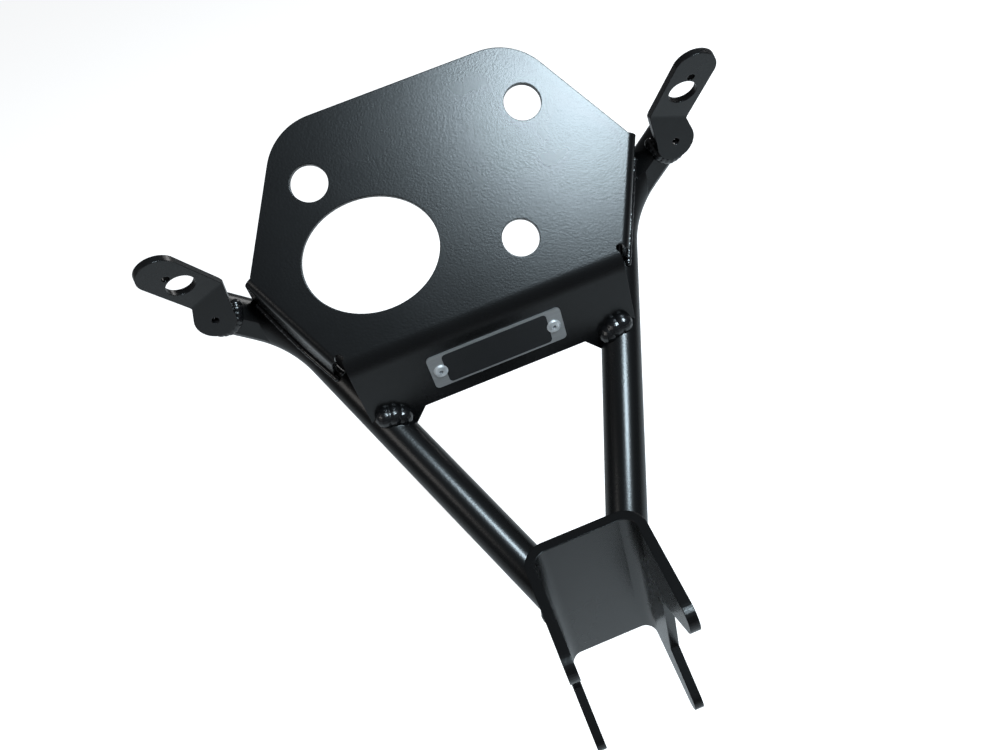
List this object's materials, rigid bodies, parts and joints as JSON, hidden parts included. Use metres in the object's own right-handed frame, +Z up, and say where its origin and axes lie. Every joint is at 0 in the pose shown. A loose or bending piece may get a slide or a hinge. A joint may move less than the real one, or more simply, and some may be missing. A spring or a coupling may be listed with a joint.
{
  "type": "front fairing subframe",
  "caption": "Welded front fairing subframe: a folded gauge plate carried by bent tubes on a forked head bracket, with fairing tabs at the tube ends.",
  "frame": {"origin": "middle of the head bracket's rear seat face", "axes": "+X to the rider's right, +Y forward along the bike, +Z up along the bracket's web"},
  "size_m": [0.2472, 0.2179, 0.2112],
  "materials": {
    "black_coat": "satin black powder coat",
    "weld_coat": "satin black powder coat over weld beads",
    "name_plate": "brushed frame around a dark anodised panel, left blank",
    "rivet": "bare",
    "mandrel": "broken-off steel"
  },
  "bodies": {
    "root": {"gauge_plate": "black_coat", "head_bracket": "black_coat", "tube_left": "black_coat", "tube_right": "black_coat", "tab_left": "black_coat", "tab_right": "black_coat", "corner_weld_left": "weld_coat", "corner_weld_right": "weld_coat", "side_weld_left": "weld_coat", "side_weld_right": "weld_coat", "head_weld_left": "weld_coat", "head_weld_right": "weld_coat", "tab_weld_left": "weld_coat", "tab_weld_right": "weld_coat", "name_plate": "name_plate", "rivet_left": "rivet", "rivet_right": "rivet", "mandrel_left": "mandrel", "mandrel_right": "mandrel"}
  },
  "joints": []
}
